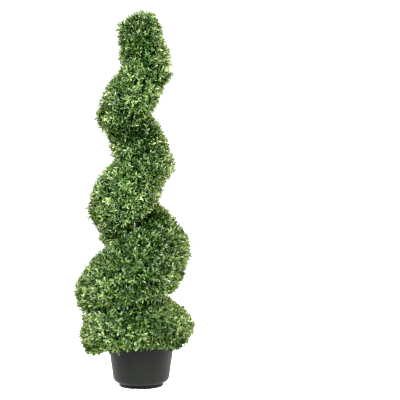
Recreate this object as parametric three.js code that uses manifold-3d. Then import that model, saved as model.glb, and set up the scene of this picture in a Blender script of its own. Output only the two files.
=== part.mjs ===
// Artificial boxwood spiral topiary in a plastic nursery pot, 4 ft tall.
// One clipped ribbon of foliage climbs round a straight pole in a right-handed
// screw, from a flat collar over the pot to a rounded tip. The ribbon is cut
// into six masses a turn. Millimetres, +Z up, origin on the ground under the pot.
import * as THREE from "three";
import { mergeVertices } from "three/addons/utils/BufferGeometryUtils.js";
import Module from "manifold-3d";

const TURN = 2 * Math.PI;

// ---- Overall sizes ----
const TOTAL_HEIGHT = 1220;
const GAP = 0.3; // between pieces that touch

// ---- Pot ----
const FOOT_RADIUS = 71.5;
const FOOT_HEIGHT = 11;
const FOOT_WALL = 5;
const FOOT_GROOVE = 6; // width of the drainage groove inside the foot ring
const GROOVE_DEPTH = 7;
const SHOULDER_RADIUS = 92.5;
const SHOULDER_TOP = 33;
const RIM_RADIUS = 107; // outside of the wall, at the rim
const POT_HEIGHT = 136;
const LIP_PROUD = 3.5;
const LIP_HEIGHT = 10;
const POT_WALL = 2.8;
const FLOOR_TOP = 14.5; // inside floor
const POT_SIDES = 48;
const DRAIN_SLOTS = 4;
const SLOT_WIDTH = 11;
const SLOT_HEIGHT = 6;
const FIRST_SLOT_ANGLE = -TURN / 4 - 0.17; // just left of the front

// ---- Fill: the cement that holds the pole ----
const FILL_TOP = 124;

// ---- Pole (trunk) ----
const TRUNK_FOOT_RADIUS = 12;
const TRUNK_TIP_RADIUS = 5;
const FLARE = 4; // extra radius where the pole meets the fill
const FLARE_HEIGHT = 18;
const TRUNK_TOP = 1110;
const TRUNK_SIDES = 12;
const TRUNK_STEP = 45;
const POLE_CLEARANCE = 2; // foliage stays this far off the pole

// ---- Spiral ribbon ----
const START_ANGLE = (-181 * Math.PI) / 180;
const NOSE_TURNS = 0.1; // the low end is rounded off over this much before the start
const FLAT_TURNS = 0.58; // the collar lies level before the ribbon climbs
const CLIMB_BLEND = 0.12; // turns over which level eases into climb
const COLLAR_HEIGHT = 181; // middle of the ribbon on the collar
const PITCH = 265; // climb in a turn, low down
const PITCH_GROWTH = 9.4; // more for each turn squared
const LAW_TURNS = 4.44; // the turns over which the sizes below run from foot to tip
const MIDDLE_RADIUS = { foot: 51, tip: 9.5, swell: -13 };
const HALF_WIDTH = { foot: 150, tip: 55, swell: 29.5 };
const HALF_HEIGHT = { foot: 175, tip: 129.5, swell: 1 };
const LOW_SHOULDER = { share: 0.4, at: 0.565, spread: 0.25 }; // the collar's low side
const EDGE_POWER = 1.6; // 2 is an ellipse, less is more pointed
const FULLNESS = { share: 0.12, wavesPerTurn: 0.426, phase: 4.43 };
const GROOVE_RADIUS = { foot: 54, tip: 40 }; // foliage left round the pole in the groove
const GROOVE_GAP = 5; // between one turn and the next
const MASSES_PER_TURN = 6;
const MASS_COUNT = 23;
const STEPS_PER_TURN = 30;
const EDGE_POINTS = 11; // points up the outside of a section
const UNEVEN = 3; // height of the lumps
const MASS_GAP = 0.6; // between one mass and the next along the ribbon

// ---- Where the foliage rests over the pot ----
const COLLAR_FLOOR = POT_HEIGHT + 5;
const SKIRT_FLOOR = 117; // mean height of the outside's hem at the sides
const SKIRT_TILT = 7; // the hem hangs this much lower at -X, and higher at +X
const SKIRT_RISE = 34; // and is clipped this much higher at the front and back
const SKIRT_INNER = 127; // clear of the lip all round, as the crown stands off centre
const SKIRT_OUTER = 140;

// ---- Tip ----
const TIP_FLOOR = 1020;
const TIP_RADIUS = 100;
const TIP_POWER = 4;
const TIP_CORE = 70;
const TIP_CORE_SIDE = 9; // the core is this much fuller towards +X, and leaner towards -X
const TIP_GROOVE_SHARE = 0.4; // the groove fades out over this share of the tip's height
const TIP_SIDES = 24;
const TIP_RINGS = 9;
const TIP_LEAN = 21; // the last of the tip leans to +X
const TIP_LEAN_POWER = 8; // how late the lean starts

// ---- Sway of the pole and the foliage round it ----
const AXIS_FOOT = -10;
const AXIS_BOW = -16;
const AXIS_TOP_SHIFT = 7;

// ---- Colours ----
const POT_COLOUR = 0x2f3031;
const CEMENT_COLOUR = 0x6f6a60;
const BARK_COLOUR = 0x4f3a28;
const LEAF_COLOURS = [0x3f6b2c, 0x4a7a33, 0x38602a];

const wasm = await Module();
wasm.setup();

// ---------------------------------------------------------------- the spiral's law

const mix = (a, b, t) => a + (b - a) * t;

function sizeAt(size, turns) {
  const u = turns / LAW_TURNS;
  return mix(size.foot, size.tip, u) + size.swell * 4 * u * (1 - u);
}

// Height of the ribbon's middle after so many turns from its low end.
function middleHeight(turns) {
  const climbed = CLIMB_BLEND * Math.log1p(Math.exp((turns - FLAT_TURNS) / CLIMB_BLEND));
  return COLLAR_HEIGHT + PITCH * climbed + PITCH_GROWTH * climbed * climbed;
}

// How far the pole and the foliage stand to the side of the pot's middle.
function axisShift(z) {
  const h = (z - FILL_TOP) / (TOTAL_HEIGHT - FILL_TOP);
  return AXIS_FOOT + AXIS_TOP_SHIFT * h + AXIS_BOW * Math.sin(Math.PI * h);
}

function halfHeight(turns) {
  const fromLowSide = (turns - LOW_SHOULDER.at) / LOW_SHOULDER.spread;
  const sink = LOW_SHOULDER.share * Math.exp(-fromLowSide * fromLowSide);
  return sizeAt(HALF_HEIGHT, turns) * (1 - sink);
}

// Small lumps, the same wherever two masses meet.
function lumps(turns, z) {
  const a = TURN * turns;
  const long = Math.sin(2.3 * a + z / 31) * Math.cos(z / 47 - a);
  const short = Math.sin(5.1 * a - z / 19 + 2);
  return UNEVEN * (long + 0.6 * short);
}

// The ribbon's share of its full width, rounding off towards its low end.
function noseShare(turns) {
  const back = THREE.MathUtils.clamp(-turns / NOSE_TURNS, 0, 1);
  return Math.sqrt(1 - back * back);
}

// Outside radius of one pass of the ribbon at height z, or 0 beyond its edge.
function ribbonRadius(turns, z) {
  const rise = Math.abs(z - middleHeight(turns)) / halfHeight(turns);
  if (rise >= 1) return 0;
  const wave = TURN * FULLNESS.wavesPerTurn * turns + FULLNESS.phase;
  const width = sizeAt(HALF_WIDTH, turns) * (1 + FULLNESS.share * Math.sin(wave));
  const across = Math.pow(1 - Math.pow(rise, EDGE_POWER), 1 / EDGE_POWER);
  return (sizeAt(MIDDLE_RADIUS, turns) + width * across) * noseShare(turns);
}

function grooveRadius(z) {
  return mix(GROOVE_RADIUS.foot, GROOVE_RADIUS.tip, z / TOTAL_HEIGHT);
}

function trunkRadius(z) {
  const h = (z - FILL_TOP) / (TRUNK_TOP - FILL_TOP);
  const flare = FLARE * Math.exp(-(z - FILL_TOP) / FLARE_HEIGHT);
  return mix(TRUNK_FOOT_RADIUS, TRUNK_TIP_RADIUS, h) + flare;
}

// Height of the hem of the lowest foliage, round the pot.
function hemHeight(angle) {
  return SKIRT_FLOOR + SKIRT_TILT * Math.cos(angle) + SKIRT_RISE * Math.sin(angle) ** 2;
}

// The lowest that foliage reaches at this distance from the pole.
function floorHeight(radius, angle) {
  const outward = (radius - SKIRT_INNER) / (SKIRT_OUTER - SKIRT_INNER);
  return mix(COLLAR_FLOOR, hemHeight(angle), THREE.MathUtils.clamp(outward, 0, 1));
}

// ---------------------------------------------------------------- solids from rings

// A closed solid through a row of rings with equal numbers of points, its ends
// closed to one point each.
function skin(rings, startPoint, endPoint) {
  const points = [startPoint, ...rings.flat(), endPoint];
  const around = rings[0].length;
  const last = points.length - 1;
  const index = [];
  const at = (ring, i) => 1 + ring * around + (i % around);
  for (let i = 0; i < around; i++) index.push(0, at(0, i + 1), at(0, i));
  for (let ring = 0; ring < rings.length - 1; ring++) {
    for (let i = 0; i < around; i++) {
      index.push(at(ring, i), at(ring, i + 1), at(ring + 1, i + 1));
      index.push(at(ring, i), at(ring + 1, i + 1), at(ring + 1, i));
    }
  }
  const top = rings.length - 1;
  for (let i = 0; i < around; i++) index.push(last, at(top, i), at(top, i + 1));
  const geometry = new THREE.BufferGeometry().setFromPoints(points);
  geometry.setIndex(index);
  return geometry;
}

// A point of the crown from its angle, its distance from the pole and its height.
function crownPoint(angle, radius, z) {
  return new THREE.Vector3(axisShift(z) + radius * Math.cos(angle), radius * Math.sin(angle), z);
}

function levelRing(sides, radiusAt, z, shift = 0) {
  const ring = [];
  for (let i = 0; i < sides; i++) {
    const angle = (TURN * i) / sides;
    const point = crownPoint(angle, radiusAt(angle), z);
    point.x += shift;
    ring.push(point);
  }
  return ring;
}

function averagePoint(points) {
  const sum = new THREE.Vector3();
  for (const point of points) sum.add(point);
  return sum.divideScalar(points.length);
}

// ---------------------------------------------------------------- ribbon masses

// The upright cut through the ribbon, as [radius, height] pairs: out along the
// underside, up the rounded edge, and back to the pole.
function ribbonSection(turns, angle) {
  const overItself = turns > 1 - NOSE_TURNS - 0.5 / STEPS_PER_TURN;
  const below = overItself ? (middleHeight(turns) + middleHeight(turns - 1)) / 2 : -Infinity;
  const above = (middleHeight(turns) + middleHeight(turns + 1)) / 2;
  const ceiling = Math.min(above, TIP_FLOOR) - GROOVE_GAP / 2;
  const lowest = below + GROOVE_GAP / 2;
  const onFloor = (radius, z) => [radius, Math.max(z, lowest, floorHeight(radius, angle))];
  const edge = [];
  for (let i = 0; i < EDGE_POINTS; i++) {
    const z = mix(Math.max(lowest, hemHeight(angle)), ceiling, i / (EDGE_POINTS - 1));
    const radius = Math.max(ribbonRadius(turns, z), grooveRadius(z));
    edge.push(onFloor(radius + lumps(turns, z), z));
  }
  const outer = edge[0][0];
  const under = [SKIRT_INNER, SKIRT_OUTER].map((radius) => {
    const within = Math.min(radius, outer * (0.9 * radius) / SKIRT_OUTER);
    return onFloor(within, lowest);
  });
  const inner = Math.max(lowest, COLLAR_FLOOR);
  const clear = (z) => trunkRadius(z) + POLE_CLEARANCE;
  return [[clear(inner), inner], ...under, ...edge, [clear(ceiling), ceiling]];
}

function ribbonMass(number) {
  const start = number === 0 ? -NOSE_TURNS : number / MASSES_PER_TURN;
  const end = (number + 1) / MASSES_PER_TURN;
  const steps = Math.round((end - start) * STEPS_PER_TURN);
  const rings = [];
  for (let step = 0; step <= steps; step++) {
    const turns = start + step / STEPS_PER_TURN;
    const angle = START_ANGLE + TURN * turns;
    rings.push(ribbonSection(turns, angle).map(([radius, z]) => crownPoint(angle, radius, z)));
  }
  openGap(rings);
  rings.reverse(); // sections run anticlockwise, so faces point out from the far end back
  return skin(rings, averagePoint(rings[0]), averagePoint(rings[steps]));
}

// Draws both ends of a mass in, so that it stays off the next ones.
function openGap(rings) {
  const pull = (ring, towards) => {
    ring.forEach((point, i) => {
      const step = towards[i].clone().sub(point);
      point.addScaledVector(step, MASS_GAP / 2 / step.length());
    });
  };
  pull(rings[0], rings[1].map((point) => point.clone()));
  pull(rings[rings.length - 1], rings[rings.length - 2].map((point) => point.clone()));
}

// ---------------------------------------------------------------- tip

function tipRadius(angle, z) {
  const t = (z - TIP_FLOOR) / (TOTAL_HEIGHT - TIP_FLOOR);
  const dome = Math.sqrt(Math.max(0, 1 - Math.pow(t, TIP_POWER)));
  const first = (angle - START_ANGLE) / TURN;
  const core = TIP_CORE + TIP_CORE_SIDE * Math.cos(angle);
  let reach = mix(grooveRadius(z), core, THREE.MathUtils.smoothstep(t, 0, TIP_GROOVE_SHARE));
  let turnsThere = first;
  for (let turns = first; turns < LAW_TURNS; turns++) {
    const radius = ribbonRadius(turns, z);
    if (radius > reach) {
      reach = radius;
      turnsThere = turns;
    }
  }
  return Math.min(reach, TIP_RADIUS) * dome + lumps(turnsThere, z) * dome;
}

function tipMass() {
  const rings = [];
  const shaftTop = TRUNK_TOP + POLE_CLEARANCE;
  const base = TIP_FLOOR + GROOVE_GAP / 2;
  const clear = (z) => () => trunkRadius(Math.min(z, TRUNK_TOP)) + POLE_CLEARANCE;
  rings.push(levelRing(TIP_SIDES, clear(shaftTop), shaftTop));
  rings.push(levelRing(TIP_SIDES, clear(base), base));
  for (let i = 0; i < TIP_RINGS; i++) {
    const rise = Math.sin((Math.PI / 2) * (i / TIP_RINGS));
    const z = mix(base, TOTAL_HEIGHT, rise);
    const lean = TIP_LEAN * rise ** TIP_LEAN_POWER;
    rings.push(levelRing(TIP_SIDES, (angle) => tipRadius(angle, z), z, lean));
  }
  const shaftEnd = crownPoint(0, 0, shaftTop);
  const apex = crownPoint(0, 0, TOTAL_HEIGHT);
  apex.x += TIP_LEAN;
  return skin(rings, shaftEnd, apex);
}

// ---------------------------------------------------------------- pole

function trunk() {
  const rings = [];
  const foot = FILL_TOP + GAP;
  const count = Math.round((TRUNK_TOP - foot) / TRUNK_STEP);
  for (let i = 0; i <= count; i++) {
    const z = mix(foot, TRUNK_TOP, i / count);
    rings.push(levelRing(TRUNK_SIDES, () => trunkRadius(z), z));
  }
  return skin(rings, crownPoint(0, 0, foot), crownPoint(0, 0, TRUNK_TOP));
}

// ---------------------------------------------------------------- pot and fill

function wallRadius(z) {
  return mix(SHOULDER_RADIUS, RIM_RADIUS, (z - SHOULDER_TOP) / (POT_HEIGHT - SHOULDER_TOP));
}

// The rounded shoulder between the foot ring and the wall, set in by some amount.
function shoulder(inset, steps) {
  const curve = new THREE.EllipseCurve(
    FOOT_RADIUS, SHOULDER_TOP,
    SHOULDER_RADIUS - FOOT_RADIUS - inset, SHOULDER_TOP - FOOT_HEIGHT - inset,
    -Math.PI / 2, 0,
  );
  return curve.getPoints(steps);
}

function potGeometry() {
  const grooveOuter = FOOT_RADIUS - FOOT_WALL;
  const grooveInner = grooveOuter - FOOT_GROOVE;
  const lipBase = POT_HEIGHT - LIP_HEIGHT;
  const lip = RIM_RADIUS + LIP_PROUD;
  const profile = [
    new THREE.Vector2(0, 0),
    new THREE.Vector2(grooveInner, 0),
    new THREE.Vector2(grooveInner, GROOVE_DEPTH),
    new THREE.Vector2(grooveOuter, GROOVE_DEPTH),
    new THREE.Vector2(grooveOuter, 0),
    new THREE.Vector2(FOOT_RADIUS, 0),
    ...shoulder(0, 5),
    new THREE.Vector2(wallRadius(lipBase), lipBase),
    new THREE.Vector2(lip, lipBase + 1),
    new THREE.Vector2(lip, POT_HEIGHT - 1),
    new THREE.Vector2(lip - 1, POT_HEIGHT),
    new THREE.Vector2(RIM_RADIUS - POT_WALL, POT_HEIGHT),
    ...shoulder(POT_WALL, 4).reverse(),
    new THREE.Vector2(0, FLOOR_TOP),
  ];
  return new THREE.LatheGeometry(profile, POT_SIDES).rotateX(Math.PI / 2);
}

function toSolid(geometry) {
  const bare = geometry.clone();
  bare.deleteAttribute("normal");
  bare.deleteAttribute("uv");
  const merged = mergeVertices(bare, 1e-3);
  return new wasm.Manifold(
    new wasm.Mesh({
      numProp: 3,
      vertProperties: merged.attributes.position.array,
      triVerts: new Uint32Array(merged.index.array),
    }),
  );
}

function toGeometry(solid) {
  const mesh = solid.getMesh();
  const geometry = new THREE.BufferGeometry();
  geometry.setAttribute("position", new THREE.BufferAttribute(mesh.vertProperties, 3));
  geometry.setIndex(new THREE.BufferAttribute(mesh.triVerts, 1));
  return geometry;
}

// The lathed pot with its drainage slots cut through the foot ring.
function slottedPot() {
  let solid = toSolid(potGeometry());
  const reach = FOOT_WALL * 2;
  for (let i = 0; i < DRAIN_SLOTS; i++) {
    const angle = FIRST_SLOT_ANGLE + (TURN * i) / DRAIN_SLOTS;
    const cutter = new THREE.BoxGeometry(reach, SLOT_WIDTH, SLOT_HEIGHT * 2)
      .translate(FOOT_RADIUS, 0, 0)
      .rotateZ(angle);
    solid = solid.subtract(toSolid(cutter));
  }
  return toGeometry(solid);
}

function fillGeometry() {
  const bottom = FLOOR_TOP + GAP;
  const side = shoulder(POT_WALL + GAP, 4).filter((point) => point.y > bottom);
  const profile = [
    new THREE.Vector2(0, bottom),
    new THREE.Vector2(FOOT_RADIUS, bottom),
    ...side,
    new THREE.Vector2(wallRadius(FILL_TOP) - POT_WALL - 2 * GAP, FILL_TOP),
    new THREE.Vector2(0, FILL_TOP),
  ];
  return new THREE.LatheGeometry(profile, POT_SIDES).rotateX(Math.PI / 2);
}

// ---------------------------------------------------------------- the scene

function piece(name, geometry, color, roughness) {
  const material = new THREE.MeshStandardMaterial({ color, roughness, metalness: 0 });
  const mesh = new THREE.Mesh(geometry, material);
  mesh.name = name;
  return mesh;
}

const topiary = new THREE.Group();
topiary.add(piece("pot", slottedPot(), POT_COLOUR, 0.5));
topiary.add(piece("pot_fill", fillGeometry(), CEMENT_COLOUR, 0.95));
topiary.add(piece("trunk", trunk(), BARK_COLOUR, 0.85));
for (let number = 0; number < MASS_COUNT; number++) {
  const turn = Math.floor(number / MASSES_PER_TURN) + 1;
  const place = (number % MASSES_PER_TURN) + 1;
  const colour = LEAF_COLOURS[number % LEAF_COLOURS.length];
  topiary.add(piece(`turn_${turn}_mass_${place}`, ribbonMass(number), colour, 0.7));
}
topiary.add(piece("tip_mass", tipMass(), LEAF_COLOURS[1], 0.7));

export default topiary;
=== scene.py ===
import math

import bpy
import numpy as np
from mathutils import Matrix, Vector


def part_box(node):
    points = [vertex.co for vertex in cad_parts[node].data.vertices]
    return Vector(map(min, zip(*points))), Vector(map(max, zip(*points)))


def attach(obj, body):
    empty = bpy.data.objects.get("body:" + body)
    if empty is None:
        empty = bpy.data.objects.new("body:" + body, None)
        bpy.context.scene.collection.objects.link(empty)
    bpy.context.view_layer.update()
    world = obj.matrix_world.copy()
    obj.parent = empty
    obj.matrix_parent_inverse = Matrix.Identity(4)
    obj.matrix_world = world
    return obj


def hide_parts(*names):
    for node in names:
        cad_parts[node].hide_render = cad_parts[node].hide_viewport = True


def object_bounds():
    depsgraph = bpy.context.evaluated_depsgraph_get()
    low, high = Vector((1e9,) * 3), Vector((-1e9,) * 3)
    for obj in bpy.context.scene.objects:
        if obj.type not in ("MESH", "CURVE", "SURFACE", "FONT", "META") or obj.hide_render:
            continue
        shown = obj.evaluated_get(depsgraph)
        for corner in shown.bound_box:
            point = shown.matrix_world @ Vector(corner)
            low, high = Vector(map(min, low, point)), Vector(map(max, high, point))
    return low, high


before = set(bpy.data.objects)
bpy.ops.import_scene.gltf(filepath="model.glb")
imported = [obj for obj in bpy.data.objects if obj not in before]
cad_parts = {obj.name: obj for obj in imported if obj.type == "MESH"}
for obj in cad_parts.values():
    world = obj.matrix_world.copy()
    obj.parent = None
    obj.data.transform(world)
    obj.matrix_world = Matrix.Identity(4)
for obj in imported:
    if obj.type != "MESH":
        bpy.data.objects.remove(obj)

cad_low, cad_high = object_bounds()
MM = 0.001
UP = np.array([0.0, 0.0, 1.0])
draw = np.random.default_rng(4127)

# ---------------------------------------------------------------- camera, light and stage

VIEW_DISTANCE = 2.9
EYE_HEIGHT = 0.603
SIDE_STEP = 0.1915  # the camera stands to the right of the pot and looks straight ahead
LENS_MM = 80

# name: (x, y, z) of the lamp, width, height, watts
LAMPS = {
    "key_softbox": ((-1.2, -2.3, 2.1), 0.6, 0.6, 163),
    "fill_softbox": ((1.6, -2.3, 1.6), 1.0, 1.0, 84),
    "left_strip": ((-1.7, 0.8, 0.9), 0.5, 1.8, 32),
    "right_strip": ((1.7, 0.8, 0.9), 0.5, 1.8, 50),
    "back_softbox": ((0.5, 2.6, 2.1), 1.2, 1.2, 70),
}
AIM_HEIGHT = 0.8
SKY_SEEN = 1.0  # the backdrop's own white
SKY_LIGHT = 0.29  # the light it throws on the plant
FLOOR_GLOW = 0.8
STRIP_TINT = (1.0, 0.93, 0.88)


def make_camera():
    data = bpy.data.cameras.new("studio_camera")
    data.lens = LENS_MM
    data.sensor_width = 36
    camera = bpy.data.objects.new("studio_camera", data)
    camera.location = (SIDE_STEP, -VIEW_DISTANCE, EYE_HEIGHT)
    camera.rotation_euler = (math.radians(90), 0, 0)
    bpy.context.scene.collection.objects.link(camera)
    bpy.context.scene.camera = camera


def make_lamps():
    for name, (place, width, height, watts) in LAMPS.items():
        data = bpy.data.lights.new(name, "AREA")
        data.shape = "RECTANGLE"
        data.size = width
        data.size_y = height
        data.energy = watts
        if name.endswith("strip"):
            data.color = STRIP_TINT
        lamp = bpy.data.objects.new(name, data)
        lamp.location = place
        aim = np.array([0, 0, AIM_HEIGHT]) - np.array(place)
        flat = math.hypot(aim[0], aim[1])
        lamp.rotation_euler = (math.atan2(flat, -aim[2]), 0, math.atan2(aim[1], aim[0]) - math.pi / 2)
        bpy.context.scene.collection.objects.link(lamp)


def make_sky():
    world = bpy.data.worlds.new("studio_white")
    world.use_nodes = True
    tree = world.node_tree
    background = tree.nodes["Background"]
    background.inputs["Color"].default_value = (1, 1, 1, 1)
    seen = tree.nodes.new("ShaderNodeLightPath").outputs["Is Camera Ray"]
    tree.links.new(remap_node(tree, seen, 0, 1, SKY_LIGHT, SKY_SEEN), background.inputs["Strength"])
    bpy.context.scene.world = world


def make_floor():
    """A floor that glows white, but not under and just around the pot's foot: a painted contact shadow."""
    deselect()
    bpy.ops.mesh.primitive_plane_add(size=40, location=(0, 0, 0))
    floor = bpy.context.object
    floor.name = "studio_floor"
    paint = bpy.data.materials.new("white_floor_paint")
    paint.use_nodes = True
    shader = paint.node_tree.nodes["Principled BSDF"]
    shader.inputs["Base Color"].default_value = (0.92, 0.92, 0.92, 1)
    shader.inputs["Roughness"].default_value = 0.9
    shader.inputs["Emission Color"].default_value = (1, 1, 1, 1)
    place = paint.node_tree.nodes.new("ShaderNodeTexCoord").outputs["Object"]
    away = paint.node_tree.nodes.new("ShaderNodeVectorMath")
    away.operation = "LENGTH"
    paint.node_tree.links.new(place, away.inputs[0])
    # the glow fades to nothing at the pot's foot: painted contact shadow
    glow = remap_node(paint.node_tree, away.outputs["Value"], FOOT_RADIUS, FOOT_RADIUS * 1.05, 0, FLOOR_GLOW)
    paint.node_tree.links.new(glow, shader.inputs["Emission Strength"])
    floor.data.materials.append(paint)


def deselect():
    bpy.ops.object.select_all(action="DESELECT")
    bpy.context.view_layer.objects.active = None


# ---------------------------------------------------------------- finishes


def new_group(name, inputs, outputs):
    """An empty shader node group; inputs are (name, kind, value), outputs are (name, kind)."""
    group = bpy.data.node_groups.new(name, "ShaderNodeTree")
    for label, kind, value in inputs:
        socket = group.interface.new_socket(label, in_out="INPUT", socket_type=kind)
        socket.default_value = value
    for label, kind in outputs:
        group.interface.new_socket(label, in_out="OUTPUT", socket_type=kind)
    return group, group.nodes.new("NodeGroupInput"), group.nodes.new("NodeGroupOutput")


def noise_node(tree, place, scale, detail=3.0, roughness=0.5):
    noise = tree.nodes.new("ShaderNodeTexNoise")
    noise.inputs["Scale"].default_value = scale
    noise.inputs["Detail"].default_value = detail
    noise.inputs["Roughness"].default_value = roughness
    tree.links.new(place, noise.inputs["Vector"])
    return noise


def remap_node(tree, value, low, high, to_low, to_high):
    remap = tree.nodes.new("ShaderNodeMapRange")
    remap.inputs["From Min"].default_value = low
    remap.inputs["From Max"].default_value = high
    remap.inputs["To Min"].default_value = to_low
    remap.inputs["To Max"].default_value = to_high
    tree.links.new(value, remap.inputs["Value"])
    return remap.outputs["Result"]


def mix_node(tree, share, first, second):
    """Mixes two colours; each is a socket or a plain colour."""
    mix = tree.nodes.new("ShaderNodeMix")
    mix.data_type = "RGBA"
    tree.links.new(share, mix.inputs["Factor"])
    for colour, label in ((first, "A"), (second, "B")):
        socket = next(s for s in mix.inputs if s.name == label and s.type == "RGBA")
        if isinstance(colour, bpy.types.NodeSocket):
            tree.links.new(colour, socket)
        else:
            socket.default_value = colour
    return next(s for s in mix.outputs if s.type == "RGBA")


def mottle_group():
    """Slow patches and fine grain of a moulded or painted surface."""
    group, given, out = new_group(
        "mottle",
        [
            ("Patch Scale", "NodeSocketFloat", 12.0),
            ("Grain Scale", "NodeSocketFloat", 400.0),
        ],
        [("Patches", "NodeSocketFloat"), ("Grain", "NodeSocketFloat")],
    )
    place = group.nodes.new("ShaderNodeTexCoord").outputs["Object"]
    patches = noise_node(group, place, 12.0, 3.0, 0.55)
    grain = noise_node(group, place, 400.0, 2.0, 0.6)
    group.links.new(given.outputs["Patch Scale"], patches.inputs["Scale"])
    group.links.new(given.outputs["Grain Scale"], grain.inputs["Scale"])
    group.links.new(remap_node(group, patches.outputs["Fac"], 0.3, 0.7, 0, 1), out.inputs["Patches"])
    group.links.new(grain.outputs["Fac"], out.inputs["Grain"])
    return group


def new_finish(name, patch_scale, grain_scale):
    """A material with the mottle group in it; returns it, its tree, its shader and the group."""
    finish = bpy.data.materials.new(name)
    finish.use_nodes = True
    tree = finish.node_tree
    mottle = tree.nodes.new("ShaderNodeGroup")
    mottle.node_tree = MOTTLE
    mottle.inputs["Patch Scale"].default_value = patch_scale
    mottle.inputs["Grain Scale"].default_value = grain_scale
    return finish, tree, tree.nodes["Principled BSDF"], mottle


def bump_from(tree, height, distance, strength):
    bump = tree.nodes.new("ShaderNodeBump")
    bump.inputs["Distance"].default_value = distance
    bump.inputs["Strength"].default_value = strength
    tree.links.new(height, bump.inputs["Height"])
    tree.links.new(bump.outputs["Normal"], tree.nodes["Principled BSDF"].inputs["Normal"])
    return bump


def colour(red, green, blue):
    """A screen colour from 0 to 255, as the shader's linear one."""
    linear = [((c / 255 + 0.055) / 1.055) ** 2.4 if c > 10 else c / 255 / 12.92 for c in (red, green, blue)]
    return (*linear, 1.0)


def leaf_finish(name, light, dark, pale, through, shine):
    """Glossy moulded leaf of one tone: paler underneath, and it glows where lit from behind."""
    finish, tree, shader, mottle = new_finish(name, 55.0, 900.0)
    tint = mix_node(tree, mottle.outputs["Patches"], dark, light)
    under = tree.nodes.new("ShaderNodeNewGeometry").outputs["Backfacing"]
    tint = mix_node(tree, under, tint, pale)
    tree.links.new(tint, shader.inputs["Base Color"])
    gloss = remap_node(tree, mottle.outputs["Grain"], 0.3, 0.7, *LEAF_ROUGHNESS)
    tree.links.new(gloss, shader.inputs["Roughness"])
    shader.inputs["Specular IOR Level"].default_value = shine
    shader.inputs["IOR"].default_value = LEAF_IOR
    glow = tree.nodes.new("ShaderNodeBsdfTranslucent")
    glow.inputs["Color"].default_value = through
    both = tree.nodes.new("ShaderNodeMixShader")
    both.inputs["Fac"].default_value = LEAF_GLOW
    tree.links.new(shader.outputs["BSDF"], both.inputs[1])
    tree.links.new(glow.outputs["BSDF"], both.inputs[2])
    tree.links.new(both.outputs["Shader"], tree.nodes["Material Output"].inputs["Surface"])
    return finish


def twig_finish():
    finish, tree, shader, mottle = new_finish("twig_green_brown", 40.0, 700.0)
    tint = mix_node(tree, mottle.outputs["Patches"], colour(44, 42, 18), colour(60, 72, 24))
    tree.links.new(tint, shader.inputs["Base Color"])
    shader.inputs["Roughness"].default_value = 0.6
    shader.inputs["Specular IOR Level"].default_value = 0.2
    bump_from(tree, mottle.outputs["Grain"], 0.0003, 0.4)
    return finish


def bark_finish():
    """Dull brown bark with pale ridges and dark furrows that run up the pole."""
    finish, tree, shader, mottle = new_finish("pole_bark", 18.0, 500.0)
    stretch = tree.nodes.new("ShaderNodeMapping")
    stretch.inputs["Scale"].default_value = (1, 1, 0.14)
    place = tree.nodes.new("ShaderNodeTexCoord").outputs["Object"]
    tree.links.new(place, stretch.inputs["Vector"])
    ridges = noise_node(tree, stretch.outputs["Vector"], 260.0, 6.0, 0.62)
    share = remap_node(tree, ridges.outputs["Fac"], 0.35, 0.65, 0, 1)
    ridge_tint = mix_node(tree, share, colour(28, 22, 15), colour(84, 68, 50))
    tint = mix_node(tree, mottle.outputs["Patches"], ridge_tint, colour(58, 52, 36))
    tree.links.new(tint, shader.inputs["Base Color"])
    shader.inputs["Roughness"].default_value = 0.85
    bump_from(tree, ridges.outputs["Fac"], 0.002, 0.7)
    return finish


def pot_finish():
    """Charcoal moulded plastic, faintly patchy, with painted shade darkening the crease over the foot and a
    painted highlight along the foot's lowest band.
    """
    finish, tree, shader, mottle = new_finish("charcoal_plastic", 9.0, 650.0)
    body = mix_node(tree, mottle.outputs["Patches"], colour(19, 21, 20), colour(26, 28, 25))
    place = tree.nodes.new("ShaderNodeTexCoord").outputs["Object"]
    split = tree.nodes.new("ShaderNodeSeparateXYZ")
    tree.links.new(place, split.inputs["Vector"])
    # painted shade: the crease over the foot, under the shoulder, is darkened almost to black
    low = remap_node(tree, split.outputs["Z"], FOOT_HEIGHT * 0.8, FOOT_HEIGHT * 1.4, 0.9, 0.0)
    # painted highlight: the foot's lowest few millimetres are made lighter
    lit_bottom_edge = remap_node(tree, split.outputs["Z"], FOOT_HEIGHT * 0.35, FOOT_HEIGHT * 0.6, 1.0, 0.0)
    tint = mix_node(tree, low, body, colour(8, 8, 8))
    tint = mix_node(tree, lit_bottom_edge, tint, colour(30, 31, 29))
    tree.links.new(tint, shader.inputs["Base Color"])
    gloss = remap_node(tree, mottle.outputs["Patches"], 0, 1, 0.5, 0.58)
    tree.links.new(gloss, shader.inputs["Roughness"])
    shader.inputs["Specular IOR Level"].default_value = POT_SHINE
    bump_from(tree, mottle.outputs["Grain"], 0.0002, 0.25)
    return finish


def cement_finish():
    finish, tree, shader, mottle = new_finish("grey_cement", 30.0, 260.0)
    tint = mix_node(tree, mottle.outputs["Patches"], colour(96, 92, 84), colour(134, 128, 118))
    tree.links.new(tint, shader.inputs["Base Color"])
    shader.inputs["Roughness"].default_value = 0.95
    bump_from(tree, mottle.outputs["Grain"], 0.0015, 0.8)
    return finish


POT_SHINE = 0.14
LEAF_ROUGHNESS = (0.34, 0.44)
LEAF_IOR = 1.6
LEAF_GLOW = 0.15
# tone: (light, dark, underside, light through it, how strongly it shines)
LEAF_TONES = {
    "deep": (colour(22, 58, 5), colour(11, 36, 1), colour(44, 70, 16), colour(104, 130, 10), 0.1),
    "blue": (colour(50, 87, 42), colour(34, 66, 20), colour(90, 114, 78), colour(134, 152, 50), 0.75),
    "mid": (colour(72, 108, 40), colour(46, 80, 10), colour(106, 128, 78), colour(164, 178, 44), 0.8),
    "bright": (colour(110, 143, 86), colour(86, 116, 58), colour(146, 162, 120), colour(194, 202, 80), 1.0),
    "lime": (colour(150, 173, 116), colour(126, 150, 84), colour(176, 188, 140), colour(212, 214, 104), 1.0),
}

# ---------------------------------------------------------------- the frame's measures

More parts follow.
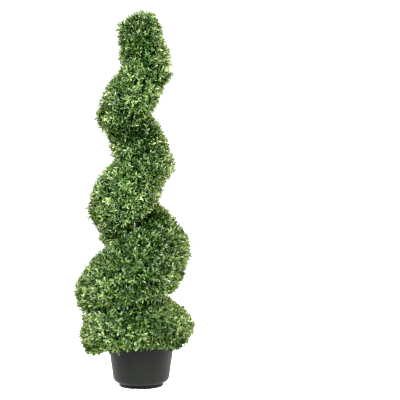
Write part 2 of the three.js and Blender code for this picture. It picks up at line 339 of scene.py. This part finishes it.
MASSES = sorted(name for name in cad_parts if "_mass" in name)
REGIONS = sorted({name.split("_mass")[0] for name in MASSES})
FIRST_MASS = "turn_1_mass_1"
pot_low, pot_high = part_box("pot")
POT_HEIGHT = pot_high.z
LIP_RADIUS = (pot_high.x - pot_low.x) / 2
TIP_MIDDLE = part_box("tip_mass")[0].z + 70 * MM  # sprays of the tip fan out from here


def corners_of(node):
    """The three corners of each triangle of a CAD node, as an array."""
    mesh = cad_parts[node].data
    mesh.calc_loop_triangles()
    points = np.zeros(len(mesh.vertices) * 3)
    mesh.vertices.foreach_get("co", points)
    order = np.zeros(len(mesh.loop_triangles) * 3, dtype=np.int32)
    mesh.loop_triangles.foreach_get("vertices", order)
    return points.reshape(-1, 3)[order].reshape(-1, 3, 3)


def measure_pole():
    """Heights, sideways places and radii of the pole's rings, from its CAD node."""
    points = corners_of("trunk").reshape(-1, 3)
    heights = np.unique(points[:, 2].round(4))
    rings = [points[np.abs(points[:, 2] - z) < 0.0005] for z in heights]
    middles = np.array([(ring[:, 0].min() + ring[:, 0].max()) / 2 for ring in rings])
    radii = np.array([(ring[:, 0].max() - ring[:, 0].min()) / 2 for ring in rings])
    return heights, middles, radii


POLE_Z, POLE_X, POLE_RADIUS = measure_pole()


def pole_point(heights):
    """Points on the pole's middle line at these heights."""
    sideways = np.interp(heights, POLE_Z, POLE_X)
    return np.stack([sideways, np.zeros_like(sideways), heights], axis=-1)


# ---------------------------------------------------------------- vector help


def unit(vectors):
    return vectors / np.maximum(np.linalg.norm(vectors, axis=-1, keepdims=True), 1e-9)


def side_of(headings, reference):
    """A unit vector square to each heading, as near to the reference as can be."""
    along = (headings * reference).sum(-1, keepdims=True)
    return unit(reference - headings * along)


def random_unit(count):
    return unit(draw.normal(size=(count, 3)))


def piece_from(name, points, triangles):
    """A smooth-shaded mesh object from arrays."""
    mesh = bpy.data.meshes.new(name)
    mesh.vertices.add(len(points))
    mesh.vertices.foreach_set("co", points.astype(np.float32).ravel())
    mesh.loops.add(triangles.size)
    mesh.loops.foreach_set("vertex_index", triangles.astype(np.int32).ravel())
    mesh.polygons.add(len(triangles))
    mesh.polygons.foreach_set("loop_start", np.arange(0, triangles.size, 3, dtype=np.int32))
    mesh.polygons.foreach_set("use_smooth", np.ones(len(triangles), dtype=bool))
    mesh.update(calc_edges=True)
    mesh.validate()
    piece = bpy.data.objects.new(name, mesh)
    bpy.context.scene.collection.objects.link(piece)
    return piece


def settle(piece, finish, slot, *nodes):
    """Gives a finished piece its material and body; the slot is not used."""
    piece.data.materials.clear()
    piece.data.materials.append(finish)
    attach(piece, "root")
    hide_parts(*nodes)


# ---------------------------------------------------------------- one leaf

LEAF_SIDES = 8
LEAF_WIDTH = 0.33  # share of its length
LEAF_FOLD = 0.1
LEAF_DROOP = 0.14


def leaf_pattern():
    """One oval leaf a unit long from its stalk along +X: folded at the rib, its tip bent down."""
    deselect()
    bpy.ops.mesh.primitive_circle_add(vertices=LEAF_SIDES, radius=0.5, fill_type="TRIFAN", location=(0, 0, 0))
    leaf = bpy.context.object
    bpy.ops.object.mode_set(mode="EDIT")
    bpy.ops.mesh.select_all(action="SELECT")
    bpy.ops.transform.rotate(value=math.pi / 2, orient_axis="Z", center_override=(0, 0, 0))
    bpy.ops.transform.resize(value=(1, LEAF_WIDTH, 1))
    bpy.ops.transform.translate(value=(0.5, 0, 0))

    move_where(leaf, lambda p: abs(p[1]) > 0.01, (0, 0, LEAF_FOLD))
    move_where(leaf, lambda p: abs(p[1]) > 0.01 and 0.6 < p[0], (0.02, 0, -LEAF_DROOP / 2))
    move_where(leaf, lambda p: abs(p[1]) < 0.01 and 0.9 < p[0], (0, 0, -LEAF_DROOP))
    move_where(leaf, lambda p: abs(p[1]) < 0.01 and p[0] < 0.1, (0, 0, -LEAF_DROOP / 3))
    bpy.ops.object.mode_set(mode="OBJECT")
    leaf.data.calc_loop_triangles()
    points = np.array([v.co[:] for v in leaf.data.vertices])
    triangles = np.array([t.vertices[:] for t in leaf.data.loop_triangles])
    a, b, c = (points[triangles[:, i]] for i in range(3))
    if np.cross(b - a, c - a)[:, 2].sum() < 0:
        triangles = triangles[:, ::-1]
    bpy.data.objects.remove(leaf)
    return points, triangles


def move_where(piece, belongs, step):
    """In edit mode: moves the corners that belong by a step."""
    bpy.ops.object.mode_set(mode="OBJECT")
    for part in (piece.data.vertices, piece.data.edges, piece.data.polygons):
        part.foreach_set("select", np.zeros(len(part), dtype=bool))
    for corner in piece.data.vertices:
        corner.select = bool(belongs(corner.co))
    bpy.ops.object.mode_set(mode="EDIT")
    bpy.ops.transform.translate(value=step)


# ---------------------------------------------------------------- the clipped skin

SPRAY_AREA = 185e-6  # one outer spray to this much skin
INNER_SHARE = 0.32  # further sprays inside, for each outer one
FACING_OUT = 0.2
SKIRT_RADIUS = LIP_RADIUS * 1.12  # the collar's underside shows outside this radius
SKIRT_TOP = POT_HEIGHT + 20 * MM


def skin_triangles(node):
    """The triangles of a foliage solid that show from outside, with their outward facing."""
    corners = corners_of(node)
    normals = np.cross(corners[:, 1] - corners[:, 0], corners[:, 2] - corners[:, 0])
    areas = np.linalg.norm(normals, axis=1) / 2
    normals = unit(normals)
    middles = corners.mean(axis=1)
    outward = unit(middles - pole_point(np.minimum(middles[:, 2], TIP_MIDDLE)))
    shows = (normals * outward).sum(1) > FACING_OUT
    if node == FIRST_MASS:
        shows |= ribbon_start(normals, middles)
    under_skirt = (normals[:, 2] < -0.5) & (np.hypot(middles[:, 0], middles[:, 1]) > SKIRT_RADIUS)
    shows |= under_skirt & (middles[:, 2] < SKIRT_TOP)
    return corners[shows], normals[shows], areas[shows]


def ribbon_start(normals, middles):
    """The cut face at the ribbon's low end, which looks back along the screw."""
    along = np.stack([-middles[:, 1], middles[:, 0], np.zeros(len(middles))], axis=1)
    return (normals * unit(along)).sum(1) < -0.5


def spread_over(corners, normals, areas, count):
    """Points spread evenly over triangles, by golden steps, with the facing at each."""
    steps = np.arange(count) + 0.5
    edges = np.cumsum(areas)
    chosen = np.searchsorted(edges, (steps / count + draw.random() * 0.01) % 1 * edges[-1])
    chosen = np.minimum(chosen, len(areas) - 1)
    a = (steps * 0.7548776662) % 1
    b = (steps * 0.5698402910) % 1
    over = a + b > 1
    a[over], b[over] = 1 - a[over], 1 - b[over]
    c = corners[chosen]
    points = c[:, 0] + a[:, None] * (c[:, 1] - c[:, 0]) + b[:, None] * (c[:, 2] - c[:, 0])
    return points, normals[chosen]


# ---------------------------------------------------------------- sprays

OUTER_DEPTH = (-1 * MM, 14 * MM)
INNER_DEPTH = (12 * MM, 36 * MM)
SHELTER_START = 1.92  # shelter at the pole, before it is held to 1
SHELTER_FALL = 1.67  # lost on the way out to a mass's wide part
GROOVE_FILL = 0.9  # further sprays in the groove, for each one outside it
DEEPEST_SHARE = 0.4  # no tip lies further in than this share of its way to the pole
TOP_DEPTH = 8 * MM  # further in, where the skin faces up
STRAY_SHARE = 0.07  # sprays that the shears missed
STRAY_PROUD = (3 * MM, 11 * MM)

# The waists between two turns, where the shears cut in: share of the plant's height
LEFT_WAISTS = (0.92, 0.66, 0.42)
RIGHT_WAISTS = (0.79, 0.53, 0.33)
WAIST_DEPTH = 14 * MM
WAIST_SPREAD = 0.03  # share of the plant's height


def waist_at(points, outward):
    """From 0 to 1: how much of the waists' depth is cut at these points of the two sides."""
    share = points[:, 2, None] / cad_high[2]
    left = np.exp(-(((share - LEFT_WAISTS) / WAIST_SPREAD) ** 2)).sum(1)
    right = np.exp(-(((share - RIGHT_WAISTS) / WAIST_SPREAD) ** 2)).sum(1)
    return np.where(outward[:, 0] < 0, left, right) * np.abs(outward[:, 0])


def shelter_at(points):
    """From 0 on a mass's outside to 1 deep in the groove beside it."""
    reach = np.linalg.norm(points - pole_point(np.minimum(points[:, 2], TIP_MIDDLE)), axis=1)
    return np.clip(SHELTER_START - SHELTER_FALL * reach / np.quantile(reach, 0.9), 0, 1)


def spray_tips(node):
    """Where the twigs of one mass end: places, headings, how sheltered and whether inner."""
    corners, normals, areas = skin_triangles(node)
    middles = corners.mean(axis=1)
    areas = areas * (1 + GROOVE_FILL * shelter_at(middles))
    outer = max(12, round(areas.sum() / SPRAY_AREA))
    inner = round(outer * INNER_SHARE)
    points, facing = spread_over(corners, normals, areas, outer + inner)
    order = draw.permutation(len(points))
    points, facing = points[order], facing[order]
    is_inner = np.arange(len(points)) >= outer
    pole = pole_point(np.minimum(points[:, 2], TIP_MIDDLE))
    outward = unit(points - pole)
    reach = np.linalg.norm(points - pole, axis=1)
    shelter = shelter_at(points)
    inner_depth = draw.uniform(*INNER_DEPTH, len(points))
    depth = np.where(is_inner, inner_depth, draw.uniform(*OUTER_DEPTH, len(points)))
    stray = draw.random(len(points)) < STRAY_SHARE * (1 - np.maximum(facing[:, 2], 0))
    depth -= draw.uniform(*STRAY_PROUD, len(points)) * stray
    depth += WAIST_DEPTH * waist_at(points, outward) + TOP_DEPTH * np.maximum(facing[:, 2], 0)
    depth = np.minimum(depth, reach * DEEPEST_SHARE)
    places = points - depth[:, None] * unit(0.6 * facing + 0.4 * outward)
    wander = random_unit(len(points))
    headings = unit(0.8 * facing + 0.35 * outward + 0.2 * UP + 0.55 * wander)
    return places, headings, shelter, is_inner


def spread_heads(points, count):
    """Picks points that lie far apart, the first at random."""
    heads = [int(draw.integers(len(points)))]
    distance = np.full(len(points), np.inf)
    for _ in range(count - 1):
        distance = np.minimum(distance, ((points - points[heads[-1]]) ** 2).sum(1))
        heads.append(int(distance.argmax()))
    return points[heads]


def nearest(points, heads):
    return ((points[:, None] - heads[None]) ** 2).sum(2).argmin(1)


def curve_between(starts, ends, headings, bend):
    """Control points of curves that leave the starts and arrive at the ends along the headings."""
    length = np.linalg.norm(ends - starts, axis=1, keepdims=True)
    return np.stack([starts, ends - headings * length * bend, ends], axis=1)


def along_curves(curves, shares):
    """Points on quadratic curves; shares has one row a curve."""
    t = shares[..., None]
    a, b, c = (curves[:, None, i] for i in range(3))
    return (1 - t) ** 2 * a + 2 * t * (1 - t) * b + t**2 * c


def headings_on(curves, shares):
    t = shares[..., None]
    a, b, c = (curves[:, None, i] for i in range(3))
    return unit((1 - t) * (b - a) + t * (c - b))


def tubes(curves, start_radius, end_radius, steps, sides):
    """Closed tapering tubes along curves, as points and triangles."""
    count = len(curves)
    shares = np.broadcast_to(np.linspace(0, 1, steps), (count, steps))
    middles = along_curves(curves, shares)
    heading = headings_on(curves, shares)
    first = side_of(heading, np.broadcast_to(unit(np.array([0.31, 0.17, 0.93])), heading.shape))
    second = np.cross(heading, first)
    radii = np.asarray(start_radius) + (end_radius - np.asarray(start_radius)) * shares
    turn = np.arange(sides) * 2 * math.pi / sides
    ring = first[:, :, None] * np.cos(turn)[:, None] + second[:, :, None] * np.sin(turn)[:, None]
    points = middles[:, :, None] + ring * radii[:, :, None, None]
    index = np.arange(steps * sides).reshape(steps, sides)
    low, high = index[:-1], index[1:]
    low_next, high_next = np.roll(low, -1, axis=1), np.roll(high, -1, axis=1)
    walls = np.concatenate(
        [
            np.stack([low, low_next, high_next], axis=-1).reshape(-1, 3),
            np.stack([low, high_next, high], axis=-1).reshape(-1, 3),
        ]
    )
    fan = np.array([(0, i, i + 1) for i in range(1, sides - 1)])
    one = np.concatenate([walls, fan[:, ::-1], fan + (steps - 1) * sides])
    triangles = one[None] + (np.arange(count) * steps * sides)[:, None, None]
    return points.reshape(-1, 3), triangles.reshape(-1, 3)


class Heap:
    """Points and triangles gathered for one piece."""

    def __init__(self):
        self.points = []
        self.triangles = []
        self.count = 0

    def add(self, points, triangles):
        self.points.append(points)
        self.triangles.append(triangles + self.count)
        self.count += len(points)

    def piece(self, name):
        return piece_from(name, np.concatenate(self.points), np.concatenate(self.triangles))


# ---------------------------------------------------------------- branching

TWIGS_A_BRANCHLET = 12
BRANCHLETS_A_BOUGH = 7
BRANCHLET_REACH = 0.52  # share of the way from the pole to the twigs' tips
BOUGH_REACH = 0.3
BOUGH_RADIUS = (3.6 * MM, 2.2 * MM)
BRANCHLET_RADIUS = (2 * MM, 1.1 * MM)
TWIG_RADIUS = (0.9 * MM, 0.45 * MM)


def towards_pole(points, reach):
    pole = pole_point(np.minimum(points[:, 2], POLE_Z[-1]))
    return pole + (points - pole) * reach


def grow_limbs(tips, wood):
    """Boughs and branchlets for one mass; returns where each twig starts."""
    heads = spread_heads(tips, max(2, len(tips) // TWIGS_A_BRANCHLET))
    cluster = nearest(tips, heads)
    kept = np.unique(cluster)
    cluster = np.searchsorted(kept, cluster)
    centres = np.array([tips[cluster == k].mean(0) for k in range(len(kept))])
    branchlet_ends = towards_pole(centres, BRANCHLET_REACH)
    bough_heads = spread_heads(branchlet_ends, max(1, len(kept) // BRANCHLETS_A_BOUGH))
    owner = nearest(branchlet_ends, bough_heads)
    kept_boughs = np.unique(owner)
    owner = np.searchsorted(kept_boughs, owner)
    spans = np.array([centres[owner == k].mean(0) for k in range(len(kept_boughs))])
    bough_ends = towards_pole(spans, BOUGH_REACH)
    drop = np.linalg.norm(bough_ends - pole_point(bough_ends[:, 2]), axis=1) * 0.8
    lowest = POLE_Z[0] + 0.01
    starts = pole_point(np.clip(bough_ends[:, 2] - drop, lowest, POLE_Z[-1] - 0.005))
    rising = unit(bough_ends - starts + UP * 0.01)
    boughs = curve_between(starts, bough_ends, rising, 0.4)
    wood.add(*tubes(boughs, *BOUGH_RADIUS, 6, 7))
    spread = unit(branchlet_ends - bough_ends[owner] + UP * 0.004)
    branchlets = curve_between(bough_ends[owner], branchlet_ends, spread, 0.35)
    wood.add(*tubes(branchlets, *BRANCHLET_RADIUS, 5, 5))
    return branchlet_ends[cluster]


LEAF_LENGTH = 18.5 * MM
NODE_STEP = 9 * MM  # between leaf pairs along a twig
PAIRS = 4
LEAF_SPLAY = (62, 56, 46, 34)  # degrees from the twig, lowest pair first
LEAF_GROWTH = (1.0, 1.0, 0.9, 0.74)
SPRAY_GROWTH = (0.88, 1.12)  # sprays differ in leaf size this much
INNER_GROWTH = 1.15
STALK = 0.6 * MM


def leaf_places(curves, size):
    """Origins, headings, facings and lengths of the leaves of many sprays, row by row."""
    count = len(curves)
    length = np.linalg.norm(curves[:, 2] - curves[:, 0], axis=1)
    roll = draw.uniform(0, 2 * math.pi, count)
    origins, forward, facing, lengths = [], [], [], []
    for pair in range(PAIRS):
        back = (PAIRS - 1 - pair) * NODE_STEP * draw.uniform(0.85, 1.15, count)
        shares = np.clip(1 - back / length, 0.1, 1)[:, None]
        place = along_curves(curves, shares)[:, 0]
        stem = headings_on(curves, shares)[:, 0]
        side = side_of(stem, np.broadcast_to(UP, stem.shape) + 0.01)
        across = np.cross(stem, side)
        for half in (0, math.pi):
            turn = roll + pair * math.pi / 2 + half + draw.normal(0, 0.25, count)
            out = side * np.cos(turn)[:, None] + across * np.sin(turn)[:, None]
            splay = np.radians(LEAF_SPLAY[pair]) + draw.normal(0, 0.22, count)
            grow = stem * np.cos(splay)[:, None] + out * np.sin(splay)[:, None]
            face = stem * np.sin(splay)[:, None] - out * np.cos(splay)[:, None]
            face = unit(face + 0.35 * np.cross(grow, face) * draw.normal(0, 1, count)[:, None])
            origins.append(place + out * (TWIG_RADIUS[1] + STALK))
            forward.append(grow)
            facing.append(side_of(grow, face))
            lengths.append(size * LEAF_GROWTH[pair] * draw.uniform(0.82, 1.16, count))
    stem = headings_on(curves, np.ones((count, 1)))[:, 0]
    tilt = unit(stem + 0.25 * random_unit(count))
    origins.append(curves[:, 2])
    forward.append(tilt)
    facing.append(side_of(tilt, random_unit(count)))
    lengths.append(size * 0.6 * draw.uniform(0.85, 1.15, count))
    return tuple(np.stack(rows, axis=1) for rows in (origins, forward, facing, lengths))


def clear_of_pot(origins, forward, lengths):
    """Which leaves stay off the pot's wall and rim."""
    ends = origins + forward * lengths[..., None]
    near = np.minimum(np.hypot(origins[..., 0], origins[..., 1]), np.hypot(ends[..., 0], ends[..., 1]))
    low = np.minimum(origins[..., 2], ends[..., 2])
    return (near > LIP_RADIUS + 3 * MM) | (low > POT_HEIGHT + 3 * MM)


def lay_leaves(pattern, origins, forward, facing, lengths):
    """Copies of the leaf pattern at these places, as points and triangles."""
    shape, faces = pattern
    across = np.cross(facing, forward)
    local = (
        shape[None, :, 0, None] * forward[:, None]
        + shape[None, :, 1, None] * across[:, None]
        + shape[None, :, 2, None] * facing[:, None]
    )
    points = origins[:, None] + local * lengths[:, None, None]
    triangles = faces[None] + (np.arange(len(origins)) * len(shape))[:, None, None]
    return points.reshape(-1, 3), triangles.reshape(-1, 3)


# ---------------------------------------------------------------- tones

OUTER_TONES = {"deep": 0.17, "blue": 0.32, "mid": 0.27, "bright": 0.22, "lime": 0.02}
INNER_TONES = {"deep": 0.62, "blue": 0.12, "mid": 0.26, "bright": 0.0, "lime": 0.0}
PATCH_SIZE = 0.055
PATCH_SHARE = 0.3  # how far patches, not chance, choose the tone
HEM_SHADE = 45 * MM  # sprays this near the rim of the pot get darker tones: painted shade under the collar
HEM_SHADE_SHARE = 0.28
SHELTER_SHADE_SHARE = 0.1  # sprays deep in the grooves get darker tones too: painted shade
DARKER_LOW_LEAF = 0.4  # chance that a leaf low on its spray is a tone darker
LIGHTER_TOP_LEAF = 0.25  # chance that one at the spray's end is a tone lighter


def patch_value(points):
    """From 0 to 1, slowly changing over the plant: neighbouring sprays are of like age."""
    p = points / PATCH_SIZE
    wave = np.sin(p[:, 0] + 1.7 * np.sin(p[:, 2] * 0.8)) + np.sin(p[:, 1] * 1.1 + 2.1 * np.sin(p[:, 0] * 0.7))
    wave += np.sin(p[:, 2] * 1.2 + p[:, 0] * 0.5)
    return 0.5 + wave / 6


def deal_tones(points, shelter, is_inner):
    """A tone for each spray: mostly by chance, a little by patch, and darker with shelter and nearness to the
    pot, which is painted shade.
    """
    luck = (1 - PATCH_SHARE) * draw.random(len(points)) + PATCH_SHARE * patch_value(points)
    # how near a spray is to the pot's rim, for the painted shade under the collar
    hem = np.clip((POT_HEIGHT + HEM_SHADE - points[:, 2]) / HEM_SHADE, 0, 1)
    # sheltered sprays and sprays near the pot's rim are pushed to darker tones: painted shade
    luck = (luck - SHELTER_SHADE_SHARE * shelter - HEM_SHADE_SHARE * hem).argsort().argsort() / len(points)
    tones = list(LEAF_TONES)
    outer_edges = np.cumsum([OUTER_TONES[t] for t in tones])
    inner_edges = np.cumsum([INNER_TONES[t] for t in tones])
    outer = np.searchsorted(outer_edges, luck, side="right")
    inner = np.searchsorted(inner_edges, draw.random(len(points)) * 0.999, side="right")
    return np.where(is_inner, inner, np.minimum(outer, len(tones) - 1))


def deal_leaf_tones(tones, leaves):
    """The tone of each leaf of each spray, from the spray's own; leaves run from low to top."""
    chance = draw.random((len(tones), leaves))
    height = np.arange(leaves) / (leaves - 1)
    step = (chance > 1 - LIGHTER_TOP_LEAF * height) * 1 - (chance < DARKER_LOW_LEAF * (1 - height))
    return np.clip(tones[:, None] + step, 0, len(LEAF_TONES) - 1)


def grow_region(region, pattern, finishes):
    """Boughs, twigs and leaves of all the masses of one turn, or of the tip."""
    nodes = [name for name in MASSES if name.split("_mass")[0] == region]
    wood, twigs = Heap(), Heap()
    leaves = {tone: Heap() for tone in LEAF_TONES}
    for node in nodes:
        places, headings, shelter, is_inner = spray_tips(node)
        starts = grow_limbs(places, wood)
        curves = curve_between(starts, places, headings, 0.45)
        twigs.add(*tubes(curves, *TWIG_RADIUS, 3, 3))
        size = LEAF_LENGTH * np.where(is_inner, INNER_GROWTH, 1.0) * draw.uniform(*SPRAY_GROWTH, len(places))
        origins, forward, facing, lengths = leaf_places(curves, size)
        kept = clear_of_pot(origins, forward, lengths)
        tones = deal_leaf_tones(deal_tones(places, shelter, is_inner), origins.shape[1])
        for number, tone in enumerate(LEAF_TONES):
            chosen = kept & (tones == number)
            if chosen.any():
                parts = (origins[chosen], forward[chosen], facing[chosen], lengths[chosen])
                leaves[tone].add(*lay_leaves(pattern, *parts))
    settle(wood.piece(f"{region}_boughs"), finishes["bark"], "bark", *nodes)
    settle(twigs.piece(f"{region}_twigs"), finishes["twig"], "bark", *nodes)
    for tone, heap in leaves.items():
        if heap.count:
            settle(heap.piece(f"{region}_leaves_{tone}"), finishes[tone], "foliage", *nodes)


# ---------------------------------------------------------------- pole

POLE_SIDES = 28
POLE_STEPS = 150
RIDGE = 0.9 * MM


def make_pole():
    """The bark-covered pole: a disc drawn up through its height, then given furrows."""
    deselect()
    bpy.ops.mesh.primitive_circle_add(
        vertices=POLE_SIDES, radius=POLE_RADIUS[0], fill_type="NGON", location=(0, 0, 0)
    )
    pole = bpy.context.object
    pole.name = "pole"
    bpy.ops.object.mode_set(mode="EDIT")
    bpy.ops.mesh.select_all(action="SELECT")
    bpy.ops.transform.translate(value=(POLE_X[0], 0, POLE_Z[0]))
    heights = np.linspace(POLE_Z[0], POLE_Z[-1], POLE_STEPS + 1)
    middles = np.interp(heights, POLE_Z, POLE_X)
    radii = np.interp(heights, POLE_Z, POLE_RADIUS)
    for step in range(POLE_STEPS):
        rise = heights[step + 1] - heights[step]
        shift = middles[step + 1] - middles[step]
        bpy.ops.mesh.extrude_region_move(TRANSFORM_OT_translate={"value": (shift, 0, rise)})
        shrink = radii[step + 1] / radii[step]
        centre = (middles[step + 1], 0, heights[step + 1])
        bpy.ops.transform.resize(value=(shrink, shrink, 1), center_override=centre)
    bpy.ops.mesh.select_all(action="SELECT")
    bpy.ops.mesh.normals_make_consistent(inside=False)
    bpy.ops.object.mode_set(mode="OBJECT")
    furrow(pole, heights, middles)
    bpy.ops.object.shade_smooth()
    return pole


def furrow(pole, heights, middles):
    """Moves the pole's wall in and out in long wavering ridges, never past its CAD radius."""
    points = np.array([v.co[:] for v in pole.data.vertices])
    middle = np.interp(points[:, 2], heights, middles)
    angle = np.arctan2(points[:, 1], points[:, 0] - middle)
    waver = 1.3 * np.sin(points[:, 2] * 19) + 0.8 * np.sin(points[:, 2] * 47 + 1)
    ridge = 0.5 + 0.3 * np.sin(7 * angle + waver) + 0.2 * np.sin(11 * angle - 1.6 * waver + points[:, 2] * 70)
    out = np.stack([np.cos(angle), np.sin(angle), np.zeros_like(angle)], axis=1)
    points -= out * (RIDGE * ridge)[:, None]
    pole.data.vertices.foreach_set("co", points.astype(np.float32).ravel())
    pole.data.update()


# ---------------------------------------------------------------- pot

FOOT_RADIUS = 71.5 * MM
FOOT_HEIGHT = 11 * MM
FOOT_WALL = 5 * MM
GROOVE_WIDTH = 6 * MM
GROOVE_DEPTH = 7 * MM
SHOULDER_RADIUS = 92.5 * MM
SHOULDER_TOP = 33 * MM
WALL_TOP_RADIUS = 107 * MM
WALL = 2.8 * MM
LIP_HEIGHT = 10 * MM
POT_FLOOR = 14.5 * MM
SLOTS = 4
SLOT_WIDTH = 11 * MM
SLOT_HEIGHT = 6 * MM
FIRST_SLOT_ANGLE = -math.pi / 2 - 0.17
POT_STEPS = 96
SHOULDER_STEPS = 7


def shoulder(inset):
    """The quarter round between foot and wall, from the foot up."""
    wide = SHOULDER_RADIUS - FOOT_RADIUS - inset
    high = SHOULDER_TOP - FOOT_HEIGHT - inset
    turns = [-math.pi / 2 * (1 - step / SHOULDER_STEPS) for step in range(SHOULDER_STEPS + 1)]
    return [(FOOT_RADIUS + wide * math.cos(t), SHOULDER_TOP + high * math.sin(t)) for t in turns]


def wall_radius(z):
    rise = (z - SHOULDER_TOP) / (POT_HEIGHT - SHOULDER_TOP)
    return SHOULDER_RADIUS + (WALL_TOP_RADIUS - SHOULDER_RADIUS) * rise


def pot_outline():
    groove_outer = FOOT_RADIUS - FOOT_WALL
    groove_inner = groove_outer - GROOVE_WIDTH
    lip_base = POT_HEIGHT - LIP_HEIGHT
    soft = 1 * MM
    return [
        (0, 0),
        (groove_inner - soft, 0),
        (groove_inner, soft),
        (groove_inner, GROOVE_DEPTH),
        (groove_outer, GROOVE_DEPTH),
        (groove_outer, soft),
        (groove_outer + soft, 0),
        (FOOT_RADIUS - soft, 0),
        (FOOT_RADIUS, soft),
        (FOOT_RADIUS, FOOT_HEIGHT - soft),
        *shoulder(0),
        (wall_radius(lip_base - soft), lip_base - soft),
        (LIP_RADIUS - soft, lip_base),
        (LIP_RADIUS, lip_base + soft),
        (LIP_RADIUS, POT_HEIGHT - soft),
        (LIP_RADIUS - soft, POT_HEIGHT),
        (WALL_TOP_RADIUS - WALL + soft, POT_HEIGHT),
        (WALL_TOP_RADIUS - WALL, POT_HEIGHT - soft),
        *reversed(shoulder(WALL)),
        (0, POT_FLOOR),
    ]


def spin_outline(name, outline):
    """A round body: the outline is drawn corner by corner and spun once round the pole."""
    deselect()
    bpy.ops.mesh.primitive_plane_add(size=0.01, location=(0, 0, 0))
    body = bpy.context.object
    body.name = name
    bpy.ops.object.mode_set(mode="EDIT")
    bpy.ops.mesh.select_all(action="SELECT")
    bpy.ops.mesh.merge(type="CENTER")
    bpy.ops.transform.translate(value=(outline[0][0], 0, outline[0][1]))
    for (r0, z0), (r1, z1) in zip(outline, outline[1:]):
        bpy.ops.mesh.extrude_region_move(TRANSFORM_OT_translate={"value": (r1 - r0, 0, z1 - z0)})
    bpy.ops.mesh.select_all(action="SELECT")
    bpy.ops.mesh.spin(steps=POT_STEPS, angle=2 * math.pi, center=(0, 0, 0), axis=(0, 0, 1))
    bpy.ops.mesh.select_all(action="SELECT")
    bpy.ops.mesh.remove_doubles(threshold=1e-5)
    bpy.ops.mesh.normals_make_consistent(inside=False)
    bpy.ops.object.mode_set(mode="OBJECT")
    return body


def slot_cutter(angle):
    """A block across the foot ring, as deep as one drainage slot."""
    deselect()
    place = (FOOT_RADIUS * math.cos(angle), FOOT_RADIUS * math.sin(angle), 0)
    bpy.ops.mesh.primitive_cube_add(size=1, location=place, rotation=(0, 0, angle))
    cutter = bpy.context.object
    cutter.scale = (FOOT_WALL * 2.4, SLOT_WIDTH, SLOT_HEIGHT * 2)
    bpy.ops.object.transform_apply(location=True, rotation=True, scale=True)
    return cutter


def make_pot():
    pot = spin_outline("pot_shell", pot_outline())
    for number in range(SLOTS):
        cutter = slot_cutter(FIRST_SLOT_ANGLE + 2 * math.pi * number / SLOTS)
        deselect()
        pot.select_set(True)
        bpy.context.view_layer.objects.active = pot
        cut = pot.modifiers.new("slot", "BOOLEAN")
        cut.operation = "DIFFERENCE"
        cut.solver = "EXACT"
        cut.object = cutter
        bpy.ops.object.modifier_apply(modifier="slot")
        bpy.data.objects.remove(cutter)
    bpy.ops.object.shade_smooth_by_angle(angle=math.radians(32))
    return pot


# ---------------------------------------------------------------- putting it together

MOTTLE = mottle_group()

make_camera()
make_lamps()
make_sky()
make_floor()
bpy.context.scene.view_settings.view_transform = "Standard"
bpy.context.scene.view_settings.look = "Medium High Contrast"

finishes = {tone: leaf_finish(f"leaf_{tone}", *values) for tone, values in LEAF_TONES.items()}
finishes["twig"] = twig_finish()
finishes["bark"] = bark_finish()

leaf = leaf_pattern()
for region in REGIONS:
    grow_region(region, leaf, finishes)

settle(make_pole(), finishes["bark"], "bark", "trunk")
settle(make_pot(), pot_finish(), "pot_plastic", "pot")

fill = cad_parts["pot_fill"]
fill.data.materials.clear()
fill.data.materials.append(cement_finish())
